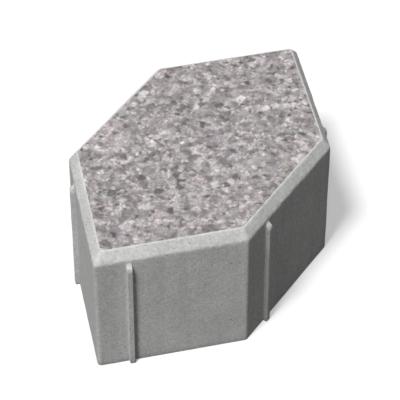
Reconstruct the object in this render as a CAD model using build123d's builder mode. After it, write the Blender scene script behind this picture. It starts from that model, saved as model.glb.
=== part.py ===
# Elongated hexagonal concrete paver, pressed in one piece.
# X runs across the width, Y along the length from tip to tip, Z up.
# The origin is the middle of the underside. Sizes are in millimetres and degrees.
import os
from math import radians, sin, tan

from build123d import *

# Plan of the stone, measured to the sharp corners before they are rounded
length = 195.0
width = 110.0
tip_angle = 88.0
corner_radius = 2.0

# Section of the stone
thickness = 80.0
chamfer_inset = 4.0
chamfer_drop = 6.0

# Spacer nibs, one on each side, which keep the joint open when the stones are laid
nib_depth = 2.3
nib_width = 3.0
nib_corner_gap = 16.5
nib_top_gap = 2.0
nib_root = 1.0

# Height of the arris, where the chamfer meets the sides
arris_height = thickness - chamfer_drop


def plan_corners(inset):
    """The six corners of the plan, moved in by inset, anticlockwise from the front tip."""
    half_tip = radians(tip_angle / 2)
    half_width = width / 2 - inset
    tip = length / 2 - inset / sin(half_tip)
    shoulder = tip - half_width / tan(half_tip)
    return [
        Vector(0, -tip),
        Vector(half_width, -shoulder),
        Vector(half_width, shoulder),
        Vector(0, tip),
        Vector(-half_width, shoulder),
        Vector(-half_width, -shoulder),
    ]


def plan_face(inset):
    """The plan as a face with rounded corners, moved in by inset."""
    with BuildSketch() as plan:
        with BuildLine():
            Polyline(*plan_corners(inset), close=True)
        make_face()
        fillet(plan.vertices(), corner_radius)
    return plan.sketch


with BuildPart() as paver:
    # Straight sides from the underside up to the arris
    with BuildSketch():
        add(plan_face(0))
    extrude(amount=arris_height)

    # Chamfer from the arris in to the rim of the wearing face
    with BuildSketch(Plane.XY.offset(arris_height)):
        add(plan_face(0))
    with BuildSketch(Plane.XY.offset(thickness)):
        add(plan_face(chamfer_inset))
    loft(ruled=True)

    # A nib stands near the left end of each side as seen from outside,
    # and its upper end slopes back into the side
    corners = plan_corners(0)
    for start, end in zip(corners, corners[1:] + corners[:1]):
        along = (end - start).normalized()
        outward = along.cross(Vector(0, 0, 1))
        nib_origin = start + along * nib_corner_gap
        nib_top = arris_height - nib_top_gap
        with BuildSketch(Plane(origin=nib_origin, x_dir=outward, z_dir=-along)):
            with BuildLine():
                Polyline(
                    (-nib_root, 0),
                    (nib_depth, 0),
                    (nib_depth, nib_top - nib_depth),
                    (0, nib_top),
                    (-nib_root, nib_top),
                    close=True,
                )
            make_face()
        extrude(amount=-nib_width)

paver.part.label = "paver"

os.makedirs("parts", exist_ok=True)
export_step(paver.part, "parts/paver.step")
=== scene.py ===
# %% [markdown]
# # A concrete paver, dressed as a surface
# The object is one paving stone of pressed concrete: an elongated hexagon with a chamfer round its
# wearing face and a spacer nib on each side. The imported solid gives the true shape, and this lesson
# lays one closed numpy surface over it, fine enough to carry the grains of stone in the face.
# We start by loading the solid, which stays where it is, and by keeping its box for the end.

# %% Load the solid as the frame
import math

import bpy
import numpy as np
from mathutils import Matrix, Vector


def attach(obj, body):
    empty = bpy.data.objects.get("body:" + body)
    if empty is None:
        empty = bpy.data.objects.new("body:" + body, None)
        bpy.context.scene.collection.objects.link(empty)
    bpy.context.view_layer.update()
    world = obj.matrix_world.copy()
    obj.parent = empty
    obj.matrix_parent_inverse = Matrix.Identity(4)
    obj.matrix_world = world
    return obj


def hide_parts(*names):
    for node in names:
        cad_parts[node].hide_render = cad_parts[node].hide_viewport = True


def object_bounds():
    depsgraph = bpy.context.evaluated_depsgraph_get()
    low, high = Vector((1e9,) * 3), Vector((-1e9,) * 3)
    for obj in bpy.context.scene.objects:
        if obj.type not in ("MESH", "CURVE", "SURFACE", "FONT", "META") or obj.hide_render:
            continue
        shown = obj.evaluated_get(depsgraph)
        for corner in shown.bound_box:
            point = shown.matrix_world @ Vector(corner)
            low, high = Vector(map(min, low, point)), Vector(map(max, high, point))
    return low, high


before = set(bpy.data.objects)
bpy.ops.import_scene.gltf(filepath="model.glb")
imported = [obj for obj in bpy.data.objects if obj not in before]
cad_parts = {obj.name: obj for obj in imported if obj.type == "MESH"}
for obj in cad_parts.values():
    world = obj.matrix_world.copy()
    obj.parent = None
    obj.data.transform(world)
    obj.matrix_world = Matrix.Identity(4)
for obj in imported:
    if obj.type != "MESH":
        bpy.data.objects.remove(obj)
cad_low, cad_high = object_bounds()
mm = 0.001
print("solid box in mm:", [round(v / mm, 2) for v in (*cad_low, *cad_high)])

# %% [markdown]
# ## Sizes
# The sizes can be typed in again or measured on the solid. Measuring is safer, because the surface
# then follows the solid when that changes. From the bottom up, the vertices of the solid lie on the
# underside, on the two ends of the slope on top of the nibs, on the arris, and last on the wearing
# face. The widest points on these levels give the rest. Only the tip angle and the corner radius are
# written down.

# %% Levels of the solid
TIP_ANGLE = math.radians(88)
CORNER_RADIUS = 2.0 * mm

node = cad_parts["paver"]
solid = np.empty(len(node.data.vertices) * 3)
node.data.vertices.foreach_get("co", solid)
solid = solid.reshape(-1, 3)
level = solid[:, 2].round(6)
underside_z, nib_shoulder_z, nib_top_z, arris_z = np.unique(level)[:4]
face_z = level.max()
print("arris %.2f mm, face %.2f mm above the underside" % (arris_z / mm, face_z / mm))

# %% Plan and nibs of the solid
half_width = solid[level == arris_z, 0].max()
chamfer_inset = half_width - solid[level == face_z, 0].max()
nib_depth = solid[:, 0].max() - half_width
rounded_tip = solid[level == arris_z, 1].max()
half_length = rounded_tip + CORNER_RADIUS * (1 / math.sin(TIP_ANGLE / 2) - 1)
shoulder_y = half_length - half_width / math.tan(TIP_ANGLE / 2)
nib_reach = solid[solid[:, 0] > half_width + nib_depth / 2, 1]
nib_start = nib_reach.min() + shoulder_y
nib_end = nib_reach.max() + shoulder_y
print("chamfer %.2f by %.2f mm" % (chamfer_inset / mm, (face_z - arris_z) / mm))
print("nib from %.2f to %.2f mm along a side" % (nib_start / mm, nib_end / mm))
print("nib %.2f mm proud" % (nib_depth / mm))

# %% [markdown]
# ## The plan is a path
# A mould for such a stone is a ring of six steel plates, so the plan is six straight sides with small
# round corners. It could be a Blender curve, but as a formula it can be moved in by any inset, which
# the chamfer needs. Each side runs from the middle of one corner to the middle of the next: a point
# slides along the straight stretch, and near either end it swings round the corner's arc.

# %% Corners and sides of the plan
def plan_corners(inset):
    """The six sharp corners of the plan, moved in by inset, anticlockwise from the front tip."""
    width = half_width - inset
    tip = half_length - inset / math.sin(TIP_ANGLE / 2)
    shoulder = tip - width / math.tan(TIP_ANGLE / 2)
    right = [(0, -tip), (width, -shoulder), (width, shoulder)]
    return np.array(right + [(-x, -y) for x, y in right])


def plan_sides(inset):
    """Sharp corners, directions along and out of the sides, and the length of each side by pieces.

    The turn at a corner is the angle between its two sides. Half its arc is radius times half the
    turn, and the arc starts radius times the tangent of half the turn from the sharp corner.
    """
    corner = plan_corners(inset)
    run = np.roll(corner, -1, axis=0) - corner
    sharp_length = np.linalg.norm(run, axis=1)
    along = run / sharp_length[:, None]
    outward = np.column_stack([along[:, 1], -along[:, 0]])
    turn = np.arccos((along * np.roll(along, 1, axis=0)).sum(axis=1))
    cut = CORNER_RADIUS * np.tan(turn / 2)
    arc = CORNER_RADIUS * turn / 2
    length = sharp_length - cut - np.roll(cut, -1) + arc + np.roll(arc, -1)
    return corner, along, outward, cut, arc, length


outward, cut, arc, length = plan_sides(0)[2:]
print("side lengths in mm:", (length / mm).round(2))

# %% Points on the plan
def outline(inset, share):
    """Points of the plan at a share, 0 to 1, of each side, as (sides, columns, xy).

    Point = corner + along * slide + radius * (sin(swing) * along + (cos(swing) - 1) * outward).
    """
    corner, along, outward, cut, arc, length = plan_sides(inset)
    travel = share * length[:, None]
    first, last = arc[:, None], (length - np.roll(arc, -1))[:, None]
    slide = np.clip(travel, first, last) - first + cut[:, None]
    swing = (np.maximum(travel - last, 0) - np.maximum(first - travel, 0)) / CORNER_RADIUS
    sin, cos = np.sin(swing)[..., None], np.cos(swing)[..., None]
    along, outward, corner = along[:, None], outward[:, None], corner[:, None]
    return corner + along * slide[..., None] + CORNER_RADIUS * (sin * along + (cos - 1) * outward)


print("rounded front tip in mm:", (outline(0, np.zeros(1))[0, 0] / mm).round(2))

# %% [markdown]
# ## Columns along a side
# A spacer nib has a steep flank at each end. On an even grid a flank would be smeared over one whole
# step, so the columns are shifted a little: four of them sit close together at each flank. The middle
# two hold the flank, and the outer two keep its edges crisp, because smooth shading bends the light
# as far as the next column. One call of `np.interp` for each side moves those columns and spreads the
# others evenly between them.

# %% Columns snapped to the nib
COLUMNS = 126
FLANK = 0.2 * mm
EDGE_BAND = 0.3 * mm

column = np.arange(COLUMNS + 1)
step = length.mean() / COLUMNS
at_start, at_end = round(nib_start / step), round(nib_end / step)
knots = [0, *(at_start + np.arange(-1, 3)), *(at_end + np.arange(-2, 2)), COLUMNS]
start_edges = nib_start + np.array([-EDGE_BAND, 0, FLANK, FLANK + EDGE_BAND])
end_edges = nib_end - np.array([FLANK + EDGE_BAND, FLANK, 0, -EDGE_BAND])
edges = np.concatenate([start_edges, end_edges])
shares = np.array([
    np.interp(column, knots, [0, *((edges - side_cut + side_arc) / side_length), 1])
    for side_cut, side_arc, side_length in zip(cut, arc, length)
])
on_nib = (column > at_start) & (column < at_end)
print("columns for each side:", COLUMNS, "every %.2f mm" % (step / mm))

# %% [markdown]
# ## The section is a profile
# Seen in section, the stone goes from the wearing face over the rim, down the chamfer, over the arris,
# down the side and round the bottom edge. The mould and the tamper leave none of these edges knife
# sharp, so each is a short curve: a Bezier arc whose middle handle is the sharp edge itself. The curve
# stays inside the solid, which a bevel modifier on a fine grid could not promise.

# %% Section from the rim to the underside
RIM_SOFT = 0.7 * mm
ARRIS_SOFT = 0.9 * mm
BOTTOM_SOFT = 0.6 * mm
EDGE_POINTS, FOOT_POINTS = 5, 4
CHAMFER_POINTS, NIB_SLOPE_POINTS, SIDE_POINTS = 10, 4, 24


def eased(before, edge, after, count):
    """Quadratic Bezier of count points from before to after that leans towards the sharp edge."""
    t = np.linspace(0, 1, count)[:, None]
    before, edge, after = np.array(before), np.array(edge), np.array(after)
    return (1 - t) ** 2 * before + 2 * t * (1 - t) * edge + t ** 2 * after


rim = np.array([chamfer_inset, face_z])
arris = np.array([0, arris_z])
slope = (arris - rim) / np.linalg.norm(arris - rim)
rim_curve = eased(rim + [RIM_SOFT, 0], rim, rim + slope * RIM_SOFT, EDGE_POINTS)
arris_curve = eased(arris - slope * ARRIS_SOFT, arris, arris - [0, ARRIS_SOFT], EDGE_POINTS)
foot_curve = eased([0, BOTTOM_SOFT], [0, underside_z], [BOTTOM_SOFT, underside_z], FOOT_POINTS)
chamfer_rows = np.linspace(rim_curve[-1], arris_curve[0], CHAMFER_POINTS)[1:-1]
side_heights = np.concatenate([
    np.linspace(nib_top_z, nib_shoulder_z, NIB_SLOPE_POINTS),
    np.linspace(nib_shoulder_z, BOTTOM_SOFT, SIDE_POINTS)[1:-1],
])
side_rows = np.column_stack([np.zeros_like(side_heights), side_heights])
section = np.vstack([rim_curve, chamfer_rows, arris_curve, side_rows, foot_curve])
print("rows in the section:", len(section))

# %% [markdown]
# ## Carrying the section round the path
# Rows of the section times columns of the path give a grid of points. The nibs are made in the same
# step: where a column is on a nib and a row is below its top, the point moves out, by the full depth
# below the slope and by a share of it on the slope. They could be boxes joined on, but a moved grid
# stays one closed skin, as the cast stone is.

# %% Sides, chamfer and nibs
def nib_push(height):
    """How far a nib stands out at a height: nothing above its top, the full depth below the slope."""
    return nib_depth * np.clip((nib_top_z - height) / (nib_top_z - nib_shoulder_z), 0, 1)


def carried(inset, height):
    """One row of the section carried round the path, as (points around, 3), nibs included."""
    point = outline(inset, shares)
    point = point + outward[:, None] * (nib_push(height) * on_nib)[None, :, None]
    flat = point[:, :-1].reshape(-1, 2)
    return np.column_stack([flat, np.full(len(flat), height)])


walls = np.array([carried(inset, height) for inset, height in section])
print("wall grid:", walls.shape[:2])

# %% [markdown]
# ## The wearing face and the underside
# Rings that shrink to the middle would crowd their points there, and the grains of the face need an
# even net. A hexagon splits into three four-sided patches that meet in the middle, and a Coons patch
# fills each from its four edges: two are sides of the rim, two are straight lines to the middle. The
# underside lies flat and out of sight, so there rings that end in one middle point do well.

# %% Wearing face as three patches
def coons(near, far, left, right):
    """Coons patch: blend of the near and far edges, plus blend of left and right, less the corners.

    near and far run along the first parameter, left and right along the second, all evenly counted.
    """
    a = np.linspace(0, 1, len(near))[:, None, None]
    b = np.linspace(0, 1, len(left))[None, :, None]
    ruled_b = (1 - b) * near[:, None] + b * far[:, None]
    ruled_a = (1 - a) * left[None] + a * right[None]
    corners = (1 - a) * ((1 - b) * near[0] + b * far[0]) + a * ((1 - b) * near[-1] + b * far[-1])
    return ruled_b + ruled_a - corners


rim_sides = outline(section[0, 0], shares)
middle = np.zeros(2)
even = np.linspace(0, 1, COLUMNS + 1)[:, None]
patches = []
for near, right in zip(rim_sides[0::2], rim_sides[1::2]):
    far = middle + (right[-1] - middle) * even
    left = near[0] + (middle - near[0]) * even
    flat = coons(near, far, left, right)
    patches.append(np.dstack([flat, np.full(flat.shape[:2], face_z)]))
print("face points:", sum(p.shape[0] * p.shape[1] for p in patches))

# %% Underside as rings round a pole
RINGS = (0.9, 0.5)

under_rings = np.array([walls[-1] * [ring, ring, 1] for ring in RINGS])
pole = np.array([[0, 0, underside_z]])
print("underside rings:", len(under_rings))

# %% [markdown]
# ## One closed skin
# The pieces share their edges point for point, so they can be sewn together: points that fall on the
# same micrometre become one. Sewing with `np.unique` keeps whole arrays, where Merge by Distance
# would need the mesh first. Quads on a slant are turned so that Blender splits them along their
# shorter diagonal, which keeps the triangles compact. Each edge must belong to exactly two faces, and
# the last cell prints how many do not, which shows at once whether a seam was left open.

# %% Number the points and lay the quads
def net(ids):
    """Quads of a grid of point numbers, row by row, wound from row to row and column to column."""
    return np.stack([ids[:-1, :-1], ids[1:, :-1], ids[1:, 1:], ids[:-1, 1:]], axis=-1).reshape(-1, 4)


def numbered(grid, first):
    """Point numbers for a grid of points, counted row by row from first."""
    return first + np.arange(grid.shape[0] * grid.shape[1]).reshape(grid.shape[:2])


stack = np.concatenate([walls, under_rings])
wall_ids = numbered(stack, 0)
wall_ids = np.hstack([wall_ids, wall_ids[:, :1]])
pole_id = stack.shape[0] * stack.shape[1]
points = [stack.reshape(-1, 3), pole]
next_id = pole_id + 1
face_quads = []
for patch in patches:
    face_quads.append(net(numbered(patch, next_id)))
    points.append(patch.reshape(-1, 3))
    next_id += patch.shape[0] * patch.shape[1]
last = wall_ids[-1]
fan = np.column_stack([last[:-1], np.full(len(last) - 1, pole_id), last[1:]])
face_count = sum(len(q) for q in face_quads)
print("quads in the face:", face_count)

# %% Sew the pieces together
SEW = 1e-6

points = np.vstack(points)
grid_place = np.round(points / SEW).astype(np.int64)
first_seen, sewn = np.unique(grid_place, axis=0, return_index=True, return_inverse=True)[1:]
sewn = sewn.ravel()
vertices = points[first_seen]
quads = sewn[np.vstack([*face_quads, net(wall_ids)])]
fan = sewn[fan]
diagonal = np.linalg.norm(vertices[quads[:, :2]] - vertices[quads[:, 2:]], axis=2)
turned = np.roll(quads, -1, axis=1)
quads = np.where(diagonal[:, [1]] < diagonal[:, [0]], turned, quads)
print("vertices", len(vertices), "triangles", 2 * len(quads) + len(fan))

# %% Look for open seams
quad_edges = [quads[:, [k, (k + 1) % 4]] for k in range(4)]
fan_edges = [fan[:, [k, (k + 1) % 3]] for k in range(3)]
uses = np.unique(np.sort(np.vstack(quad_edges + fan_edges)), axis=0, return_counts=True)[1]
print("open edges", int((uses != 2).sum()))

# %% [markdown]
# ## Waves for all that is uneven
# Cast concrete is never quite flat and crushed stone never quite round. One tool serves both: a sum of
# sine waves through space, with random directions, lengths and phases. It has no seam anywhere, which
# noise laid out on an unrolled surface would have.

# %% Random waves
rng = np.random.default_rng(11)
WAVES = 14


def ramp(value, low, high):
    """Smooth step from 0 at low to 1 at high."""
    t = np.clip((value - low) / (high - low), 0, 1)
    return t * t * (3 - 2 * t)


def unevenness(place, shortest, longest):
    """Sum of sine waves with lengths from shortest to longest, scaled to 0..1, about 0.5 on average."""
    direction = rng.normal(size=(WAVES, 3))
    direction /= np.linalg.norm(direction, axis=1)[:, None]
    wave_length = rng.uniform(shortest, longest, WAVES)
    phase = rng.uniform(0, 2 * np.pi, WAVES)
    wave = np.sin(place @ (direction * (2 * np.pi / wave_length)[:, None]).T + phase)
    return np.clip(0.5 + 0.5 * wave.sum(axis=1) / math.sqrt(WAVES), 0, 1)


print("waves in a sum:", WAVES)

# %% [markdown]
# ## Grains of stone in the face
# The wearing face is pressed from a mix of crushed stone in several greys, and its grains show as a
# fine speckle a few millimetres across. A Voronoi pattern gives such packed grains: seeds sit on a
# jittered grid, and a point belongs to its nearest seed. The nine cells round a point are enough to
# find it, so the loop runs over nine cells, never over points. A noise texture alone would give soft
# clouds with no grain edges. The waves bend the pattern a little, so that the grains look crushed and
# not cut.

# %% Voronoi grains with numpy
SEED_TABLE = 97


def grains(place, size):
    """Packed grains: nearest seed of a jittered grid. Returns three random numbers of that grain and
    the edge distance, which is the second-nearest distance less the nearest, over the grain size."""
    table = rng.random((SEED_TABLE, SEED_TABLE, 5))
    cell = np.floor(place / size).astype(int)
    nearest = np.full(len(place), np.inf)
    second = np.full(len(place), np.inf)
    owner = np.zeros((len(place), 3))
    for shift in np.ndindex(3, 3):
        home = cell + np.array(shift) - 1
        seed = table[home[:, 0] % SEED_TABLE, home[:, 1] % SEED_TABLE]
        distance = np.linalg.norm(place / size - home - seed[:, :2], axis=1)
        closer = distance < nearest
        second = np.where(closer, nearest, np.minimum(second, distance))
        nearest = np.where(closer, distance, nearest)
        owner = np.where(closer[:, None], seed[:, 2:], owner)
    return owner, second - nearest


print("seeds in a table:", SEED_TABLE ** 2)

# %% Coarse and fine grains of the face
COARSE_GRAIN = 3.8 * mm
FINE_GRAIN = 2.0 * mm
COARSE_SHARE = 0.42
BEND = 1.1 * mm
BEND_WAVES = (2.5 * mm, 7 * mm)
COARSE_SHOULDER = (0.03, 0.2)
FINE_SHOULDER = (0.03, 0.28)

bend = np.column_stack([unevenness(vertices, *BEND_WAVES), unevenness(vertices, *BEND_WAVES)]) - 0.5
bent = vertices[:, :2] + BEND * bend
coarse, coarse_edge = grains(bent, COARSE_GRAIN)
fine, fine_edge = grains(bent, FINE_GRAIN)
is_coarse = coarse[:, 2] < COARSE_SHARE
tone = np.where(is_coarse, coarse[:, 0], fine[:, 0])
hue = np.where(is_coarse, coarse[:, 1], fine[:, 1])
body = np.where(is_coarse, ramp(coarse_edge, *COARSE_SHOULDER), ramp(fine_edge, *FINE_SHOULDER))
print("coarse grains cover %.0f percent" % (100 * is_coarse.mean()))

# %% [markdown]
# ## Relief
# On the real stone the grains stand a little proud of the cement between them, by a few tenths of a
# millimetre. The cast sides roll slowly by less than that, and the arris is a little ragged where the
# mould let go. All of it goes into the mesh, so that light finds true slopes, and all of it goes
# inwards from the solid: the highest grains touch its face and nothing passes it. The grain relief
# fades out just below the rim, so that face and chamfer meet without a lip.

# %% Press the relief into the skin
GRAIN_RELIEF = 0.24 * mm
LOWEST_GRAIN, FINE_HEIGHT = 0.45, 0.75
RIM_FADE = 1.4 * mm
CAST_RELIEF = 0.16 * mm
CAST_WAVES = (9 * mm, 40 * mm)
ARRIS_WEAR = 0.16 * mm
ARRIS_REACH = 1.3 * mm
ARRIS_WAVES = (1.8 * mm, 6 * mm)

x, y, z = vertices.T
face_share = ramp(z, face_z - RIM_FADE, face_z)
grain_height = LOWEST_GRAIN + (1 - LOWEST_GRAIN) * tone
proud = body * grain_height * np.where(is_coarse, 1.0, FINE_HEIGHT)
face_depth = face_share * GRAIN_RELIEF * (1 - proud)

arris_share = np.exp(-((z - arris_z) / ARRIS_REACH) ** 2)
arris_depth = ARRIS_WEAR * arris_share * unevenness(vertices, *ARRIS_WAVES) ** 2
cast_depth = (1 - face_share) * (CAST_RELIEF * unevenness(vertices, *CAST_WAVES) + arris_depth)
cast_depth[z < underside_z + SEW] = 0

plan_way = np.column_stack([x, y]) / np.maximum(np.hypot(x, y), SEW)[:, None]
relief = np.column_stack([-plan_way * cast_depth[:, None], -face_depth])
print("deepest joint between grains %.2f mm" % (face_depth.max() / mm))

# %% [markdown]
# ## From arrays to a mesh
# The arrays become one mesh. The random numbers of the grains ride along as an attribute, one colour
# for each vertex, because the material needs them later. The quads of the wearing face come first in
# the list, so a plain slice marks them for the first material and leaves the rest for the second.

# %% Build the mesh
mesh = bpy.data.meshes.new("paver_skin")
mesh.from_pydata((vertices + relief).tolist(), [], quads.tolist() + fan.tolist())
mesh.polygons.foreach_set("use_smooth", np.ones(len(mesh.polygons), dtype=bool))
finish = np.ones(len(mesh.polygons), dtype=np.int32)
finish[:face_count] = 0
numbers = np.column_stack([tone, hue, body, np.ones_like(tone)]).astype(np.float32)
mesh.attributes.new("grain", "FLOAT_COLOR", "POINT").data.foreach_set("color", numbers.ravel())
paver = bpy.data.objects.new("paver_stone", mesh)
bpy.context.scene.collection.objects.link(paver)
print("mesh faces:", len(mesh.polygons))

# %% [markdown]
# ## Helpers for materials
# Shader trees are long when every node takes five lines, so a few small helpers keep them readable.
# The first ones add a node and fill or link its inputs by name. The others each add one kind of node
# and return what comes out of it: a sum or product, a value moved to another range, a mix of two
# colours, a colour ramp, and a colour broken up by several values.

# %% Helpers that add any node
def feed(tree, socket, value):
    """Links a socket to another one, or gives it a plain value."""
    if isinstance(value, bpy.types.NodeSocket):
        tree.links.new(value, socket)
    else:
        socket.default_value = value


def put(tree, kind, inputs=None, **settings):
    """Adds a node. Settings are its properties; inputs are plain values or sockets to link, by name."""
    made = tree.nodes.new(kind)
    for name, value in settings.items():
        setattr(made, name, value)
    for name, value in (inputs or {}).items():
        feed(tree, made.inputs[name], value)
    return made


print("helpers:", feed.__name__, put.__name__)

# %% Helpers for numbers
WHOLE = (0.0, 1.0)


def math_node(tree, operation, first, second):
    """One arithmetic step on two values or sockets."""
    made = put(tree, "ShaderNodeMath", operation=operation)
    feed(tree, made.inputs[0], first)
    feed(tree, made.inputs[1], second)
    return made.outputs[0]


def remap(tree, value, source, target, way="SMOOTHSTEP"):
    """Maps a value from the source range to the target range, smoothly or in line, held at the ends."""
    made = put(tree, "ShaderNodeMapRange", {"Value": value}, interpolation_type=way)
    for name, number in zip(("From Min", "From Max", "To Min", "To Max"), (*source, *target)):
        made.inputs[name].default_value = number
    return made.outputs["Result"]


print("helpers:", math_node.__name__, remap.__name__)

# %% Helpers for colours
MIX_FACTOR, MIX_FIRST, MIX_SECOND, MIX_RESULT = 0, 6, 7, 2


def blend(tree, factor, first, second, way="MIX"):
    """Mixes two colours or sockets by a factor from 0 to 1."""
    made = put(tree, "ShaderNodeMix", data_type="RGBA", blend_type=way)
    for place, value in ((MIX_FACTOR, factor), (MIX_FIRST, first), (MIX_SECOND, second)):
        feed(tree, made.inputs[place], value)
    return made.outputs[MIX_RESULT]


def ramp_node(tree, factor, stops):
    """Colour ramp that blends from stop to stop, each given as (position, colour)."""
    made = put(tree, "ShaderNodeValToRGB", {"Fac": factor})
    elements = made.color_ramp.elements
    while len(elements) < len(stops):
        elements.new(1.0)
    for element, (position, colour) in zip(elements, stops):
        element.position = position
        element.color = (*colour, 1)
    return made.outputs["Color"]


def broken_up(tree, colour, first, second, third):
    """A colour times three values that change over the surface."""
    share = math_node(tree, "MULTIPLY", math_node(tree, "MULTIPLY", first, second), third)
    return blend(tree, 1.0, colour, share, "MULTIPLY")


print("helpers:", blend.__name__, ramp_node.__name__, broken_up.__name__)

# %% [markdown]
# ## Cement, shared by both finishes
# The cement between the grains and the cast sides come from like mixes: cloudy where water gathered,
# sandy close up, with small chips of stone in it, and dotted with pinholes from trapped air. Both
# materials need these four effects at their own scales, so they are one node group with named sockets.
# It reads Object coordinates, in metres, so a scale of 1000 makes features of about a millimetre.

# %% Cement node group
LARGEST_HOLE = 0.16
HOLE_EDGE = (0.0, 0.06)
CLOUD_NOISE, CLOUD_RANGE = {"Detail": 4.0, "Roughness": 0.6}, (0.3, 0.7)
SAND_NOISE, SAND_RANGE = {"Detail": 2.0, "Roughness": 0.7}, (0.25, 0.75)


def cement_group():
    """Clouds, sand, chips and pinholes from noise and Voronoi textures on Object coordinates.

    A pinhole fills the part of its Voronoi cell that is nearer to the seed than the hole's radius.
    """
    group = bpy.data.node_groups.new("cement_skin", "ShaderNodeTree")
    for name in ("Cloud Scale", "Sand Scale", "Chip Scale", "Pinhole Scale", "Pinhole Share"):
        group.interface.new_socket(name, in_out="INPUT", socket_type="NodeSocketFloat")
    for name in ("Cloud", "Sand", "Chip", "Pinhole"):
        group.interface.new_socket(name, in_out="OUTPUT", socket_type="NodeSocketFloat")
    entry = put(group, "NodeGroupInput").outputs
    place = put(group, "ShaderNodeTexCoord").outputs["Object"]
    cloud_inputs = {"Vector": place, "Scale": entry["Cloud Scale"], **CLOUD_NOISE}
    sand_inputs = {"Vector": place, "Scale": entry["Sand Scale"], **SAND_NOISE}
    cloud = put(group, "ShaderNodeTexNoise", cloud_inputs)
    sand = put(group, "ShaderNodeTexNoise", sand_inputs)
    chip = put(group, "ShaderNodeTexVoronoi", {"Vector": place, "Scale": entry["Chip Scale"]})
    chip_lot = put(group, "ShaderNodeSeparateColor", {"Color": chip.outputs["Color"]})
    hole = put(group, "ShaderNodeTexVoronoi", {"Vector": place, "Scale": entry["Pinhole Scale"]})
    hole_lot = put(group, "ShaderNodeSeparateColor", {"Color": hole.outputs["Color"]})
    chosen = math_node(group, "LESS_THAN", hole_lot.outputs["Red"], entry["Pinhole Share"])
    radius = math_node(group, "MULTIPLY", hole_lot.outputs["Green"], LARGEST_HOLE)
    depth = math_node(group, "SUBTRACT", radius, hole.outputs["Distance"])
    inside = remap(group, depth, HOLE_EDGE, WHOLE)
    put(group, "NodeGroupOutput", {
        "Cloud": remap(group, cloud.outputs["Fac"], CLOUD_RANGE, WHOLE),
        "Sand": remap(group, sand.outputs["Fac"], SAND_RANGE, WHOLE),
        "Chip": chip_lot.outputs["Red"],
        "Pinhole": math_node(group, "MULTIPLY", inside, chosen),
    })
    return group


cement = cement_group()
print("cement group sockets:", [s.name for s in cement.interface.items_tree])

# %% [markdown]
# ## The speckled wearing face
# The crushed stone is mostly mid and light grey, with some dark grains and a few that lean to beige or
# to mauve. Each vertex carries the random numbers of its grain, so one colour ramp turns the first
# number into a grey and another turns the second into a tint. Ramps that blend are kinder here than
# plain steps, which would draw saw teeth where a grain edge crosses the net at a slant. Clouds a few
# millimetres wide then gather light and dark grains into patches. Small chips of a millimetre or two,
# too fine for the mesh, come from the group's Voronoi texture, and sand breaks them up in turn, as
# crystals do.

# %% Colours and scales of the wearing face
STONE_GREYS = [
    (0.0, (0.12, 0.117, 0.12)), (0.16, (0.23, 0.223, 0.224)), (0.45, (0.36, 0.348, 0.35)),
    (0.8, (0.485, 0.471, 0.47)), (1.0, (0.59, 0.58, 0.575)),
]
STONE_TINTS = [
    (0.0, (1.03, 1.0, 0.99)), (0.4, (1.02, 1.0, 1.0)), (0.6, (1.07, 1.0, 0.93)),
    (0.8, (1.05, 0.955, 1.06)), (1.0, (1.1, 0.98, 0.96)),
]
PASTE = (0.305, 0.287, 0.283, 1)
# Painted shade: the dark colour that pinholes in the face get for the shade inside them.
FACE_PINHOLE_SHADE = (0.12, 0.115, 0.11, 1)
FACE_SKIN = {
    "Cloud Scale": 150.0, "Sand Scale": 1100.0, "Chip Scale": 600.0,
    "Pinhole Scale": 260.0, "Pinhole Share": 0.12,
}
FACE_PATCHES, FACE_CHIPS, FACE_CRYSTALS = (0.75, 1.25), (0.82, 1.18), (0.88, 1.12)
FACE_ROUGHNESS, FACE_SHEEN = (0.68, 0.92), 0.25
FACE_BUMP = {"Strength": 0.5, "Distance": 0.12 * mm}
print("greys of stone:", len(STONE_GREYS), "tints:", len(STONE_TINTS))

# %% Material of the wearing face
def new_material(name):
    """A new material with its tree and its Principled shader."""
    made = bpy.data.materials.new(name)
    made.use_nodes = True
    return made, made.node_tree, made.node_tree.nodes["Principled BSDF"]


def wearing_face():
    """Grains by ramp from the grain attribute over paste, with clouds, chips, sand, bump, and painted
    shade in holes.
    """
    made, tree, shader = new_material("granite_mix_face")
    skin = put(tree, "ShaderNodeGroup", FACE_SKIN, node_tree=cement).outputs
    carried_colour = put(tree, "ShaderNodeAttribute", attribute_name="grain").outputs["Color"]
    number = put(tree, "ShaderNodeSeparateColor", {"Color": carried_colour}).outputs
    grey = ramp_node(tree, number["Red"], STONE_GREYS)
    tint = ramp_node(tree, number["Green"], STONE_TINTS)
    stone = blend(tree, 1.0, grey, tint, "MULTIPLY")
    mixed = blend(tree, number["Blue"], PASTE, stone)
    clouds = remap(tree, skin["Cloud"], WHOLE, FACE_PATCHES)
    chips = remap(tree, skin["Chip"], WHOLE, FACE_CHIPS, "LINEAR")
    crystals = remap(tree, skin["Sand"], WHOLE, FACE_CRYSTALS)
    mottled = broken_up(tree, mixed, clouds, chips, crystals)
    bump = put(tree, "ShaderNodeBump", {"Height": skin["Sand"], **FACE_BUMP})
    # Painted shade: pinholes take a dark colour in place of the shade inside them; the face has no pit
    # there.
    feed(tree, shader.inputs["Base Color"], blend(tree, skin["Pinhole"], mottled, FACE_PINHOLE_SHADE))
    feed(tree, shader.inputs["Roughness"], remap(tree, skin["Sand"], WHOLE, FACE_ROUGHNESS))
    feed(tree, shader.inputs["Specular IOR Level"], FACE_SHEEN)
    feed(tree, shader.inputs["Normal"], bump.outputs["Normal"])
    return made


mesh.materials.append(wearing_face())
print("material:", mesh.materials[0].name)
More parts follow.
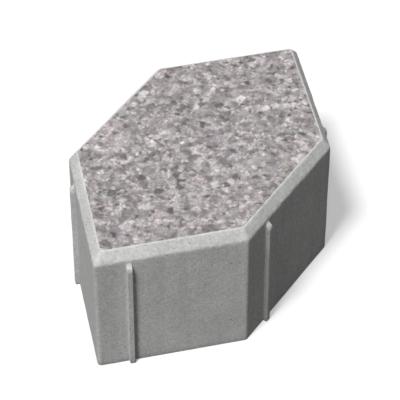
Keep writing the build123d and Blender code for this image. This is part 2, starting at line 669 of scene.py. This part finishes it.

# %% [markdown]
# ## The cast sides and chamfer
# Chamfer and sides are plain pale grey concrete, sandy to the touch, because the stone leaves its steel
# mould while the mix is still damp. Pulling it out leaves faint upright streaks, and air leaves
# pinholes. The streaks are noise squeezed along Z by a Mapping node, a cheap way to stretch any
# pattern. The rest comes from the cement group again, with finer sand and more holes, which are sunk
# in the bump and coloured darker as painted shade.

# %% Colours and scales of the cast concrete
DRY_CEMENT = (0.665, 0.663, 0.655, 1)
DAMP_CEMENT = (0.59, 0.588, 0.58, 1)
# Painted shade: the darker colour that pinholes in the sides get for the shade inside them.
SIDE_PINHOLE_SHADE = (0.34, 0.337, 0.33, 1)
SIDE_SKIN = {
    "Cloud Scale": 38.0, "Sand Scale": 900.0, "Chip Scale": 750.0,
    "Pinhole Scale": 300.0, "Pinhole Share": 0.9,
}
STREAK_SQUEEZE = Vector((1.0, 1.0, 0.04))
STREAK_NOISE, STREAK_RANGE = {"Scale": 260.0, "Detail": 3.0, "Roughness": 0.55}, (0.3, 0.7)
SIDE_STREAKS, SIDE_SAND, SIDE_CHIPS = (0.955, 1.035), (0.91, 1.09), (0.92, 1.08)
SIDE_ROUGHNESS, SIDE_SHEEN = (0.72, 0.9), 0.12
SIDE_BUMP = {"Strength": 0.5, "Distance": 0.12 * mm}
HOLE_DEPTH = 4.0
print("streaks are %.0f times as tall as wide" % (1 / STREAK_SQUEEZE.z))

# %% Material of the cast concrete
def cast_concrete():
    """Pale cement with clouds, upright streaks, sand and chips, and pinholes sunk in bump and darkened as
    painted shade.
    """
    made, tree, shader = new_material("cast_concrete")
    skin = put(tree, "ShaderNodeGroup", SIDE_SKIN, node_tree=cement).outputs
    place = put(tree, "ShaderNodeTexCoord").outputs["Object"]
    squeezed = put(tree, "ShaderNodeMapping", {"Vector": place, "Scale": STREAK_SQUEEZE})
    streak = put(tree, "ShaderNodeTexNoise", {"Vector": squeezed.outputs["Vector"], **STREAK_NOISE})
    cloudy = blend(tree, skin["Cloud"], DAMP_CEMENT, DRY_CEMENT)
    streaks = remap(tree, streak.outputs["Fac"], STREAK_RANGE, SIDE_STREAKS)
    sand = remap(tree, skin["Sand"], WHOLE, SIDE_SAND)
    chips = remap(tree, skin["Chip"], WHOLE, SIDE_CHIPS, "LINEAR")
    sanded = broken_up(tree, cloudy, streaks, sand, chips)
    sunk = math_node(tree, "MULTIPLY", skin["Pinhole"], HOLE_DEPTH)
    height = math_node(tree, "SUBTRACT", skin["Sand"], sunk)
    bump = put(tree, "ShaderNodeBump", {"Height": height, **SIDE_BUMP})
    # Painted shade: pinholes are coloured darker for the shade inside them, besides being sunk in the
    # bump.
    feed(tree, shader.inputs["Base Color"], blend(tree, skin["Pinhole"], sanded, SIDE_PINHOLE_SHADE))
    feed(tree, shader.inputs["Roughness"], remap(tree, skin["Cloud"], WHOLE, SIDE_ROUGHNESS))
    feed(tree, shader.inputs["Specular IOR Level"], SIDE_SHEEN)
    feed(tree, shader.inputs["Normal"], bump.outputs["Normal"])
    return made


mesh.materials.append(cast_concrete())
mesh.polygons.foreach_set("material_index", finish)
print("materials:", [m.name for m in mesh.materials])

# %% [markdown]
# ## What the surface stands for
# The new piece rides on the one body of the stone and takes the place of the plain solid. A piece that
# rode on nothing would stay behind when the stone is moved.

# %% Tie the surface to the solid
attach(paver, "root")
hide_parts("paver")
print("piece:", paver.name)

# %% [markdown]
# ## Floor and world
# The stone is shown on white. The floor and the world are white for the camera alone, which Light Path
# tells apart, and dim for light that bounces, so that the sides in shade stay as dark as they are. Part
# of the floor's white is its own glow, which keeps the shadow on it light, as in a bright studio.

# %% Floor
FLOOR_HALF = 6.0
FLOOR_SEEN = (0.58, 0.58, 0.58, 1)
FLOOR_GLOW = 0.42
FLOOR_BOUNCE = (0.10, 0.10, 0.10, 1)
WHITE = (1, 1, 1, 1)


def seen_directly(tree):
    """1 for rays that the camera sees straight, in a mirror or through glass, 0 for bounced light."""
    path = put(tree, "ShaderNodeLightPath")
    shiny = math_node(tree, "MAXIMUM", path.outputs["Is Glossy Ray"], path.outputs["Is Transmission Ray"])
    return math_node(tree, "MAXIMUM", path.outputs["Is Camera Ray"], shiny)


floor_mesh = bpy.data.meshes.new("floor")
square = np.array([(-1, -1, 0), (1, -1, 0), (1, 1, 0), (-1, 1, 0)]) * FLOOR_HALF
floor_mesh.from_pydata(square.tolist(), [], [(0, 1, 2, 3)])
floor = bpy.data.objects.new("floor", floor_mesh)
bpy.context.scene.collection.objects.link(floor)
white_floor, tree, shader = new_material("white_floor")
seen = seen_directly(tree)
feed(tree, shader.inputs["Base Color"], blend(tree, seen, FLOOR_BOUNCE, FLOOR_SEEN))
feed(tree, shader.inputs["Emission Strength"], math_node(tree, "MULTIPLY", seen, FLOOR_GLOW))
feed(tree, shader.inputs["Emission Color"], WHITE)
feed(tree, shader.inputs["Roughness"], 1.0)
feed(tree, shader.inputs["Specular IOR Level"], 0.0)
floor_mesh.materials.append(white_floor)
print("floor %.0f m wide" % (2 * FLOOR_HALF))

# %% World
SKY_LIGHT = 0.13

world = bpy.data.worlds.new("white_studio")
bpy.context.scene.world = world
world.use_nodes = True
tree = world.node_tree
sky = tree.nodes["Background"]
feed(tree, sky.inputs["Color"], WHITE)
feed(tree, sky.inputs["Strength"], remap(tree, seen_directly(tree), WHOLE, (SKY_LIGHT, 1.0)))
print("sky light:", SKY_LIGHT)

# %% [markdown]
# ## Light and camera
# One soft lamp stands high in front of the stone. It lights the face and the front chamfers most and
# the two front sides alike, and it leaves the straight side to the light that floor and sky send back.
# A lamp with a wide disc gives soft shadow edges. The camera looks down from the right, far off and
# with a long lens, so that upright edges stay nearly parallel.

# %% Key light
KEY_AZIMUTH, KEY_ELEVATION = math.radians(-3), math.radians(65)
KEY_STRENGTH, KEY_SPREAD = 3.25, math.radians(12)


def towards(azimuth, elevation):
    """Unit vector from the stone to an azimuth, 0 in front and 90 on the right, and an elevation."""
    flat = math.cos(elevation)
    return Vector((math.sin(azimuth) * flat, -math.cos(azimuth) * flat, math.sin(elevation)))


key = bpy.data.lights.new("key", "SUN")
key.energy = KEY_STRENGTH
key.angle = KEY_SPREAD
key_lamp = bpy.data.objects.new("key", key)
key_lamp.rotation_euler = towards(KEY_AZIMUTH, KEY_ELEVATION).to_track_quat("Z", "Y").to_euler()
bpy.context.scene.collection.objects.link(key_lamp)
print("key light %.0f degrees up" % math.degrees(KEY_ELEVATION))

# %% Camera
CAMERA_AZIMUTH, CAMERA_ELEVATION = math.radians(32.7), math.radians(44.4)
CAMERA_DISTANCE = 1.15
LENS = 195.0

aim = (cad_low + cad_high) / 2
away = towards(CAMERA_AZIMUTH, CAMERA_ELEVATION)
camera_data = bpy.data.cameras.new("camera")
camera_data.lens = LENS
camera = bpy.data.objects.new("camera", camera_data)
camera.location = aim + away * CAMERA_DISTANCE
camera.rotation_euler = away.to_track_quat("Z", "Y").to_euler()
bpy.context.scene.collection.objects.link(camera)
bpy.context.scene.camera = camera
bpy.context.scene.view_settings.view_transform = "Standard"
print("camera %.2f m away" % CAMERA_DISTANCE)
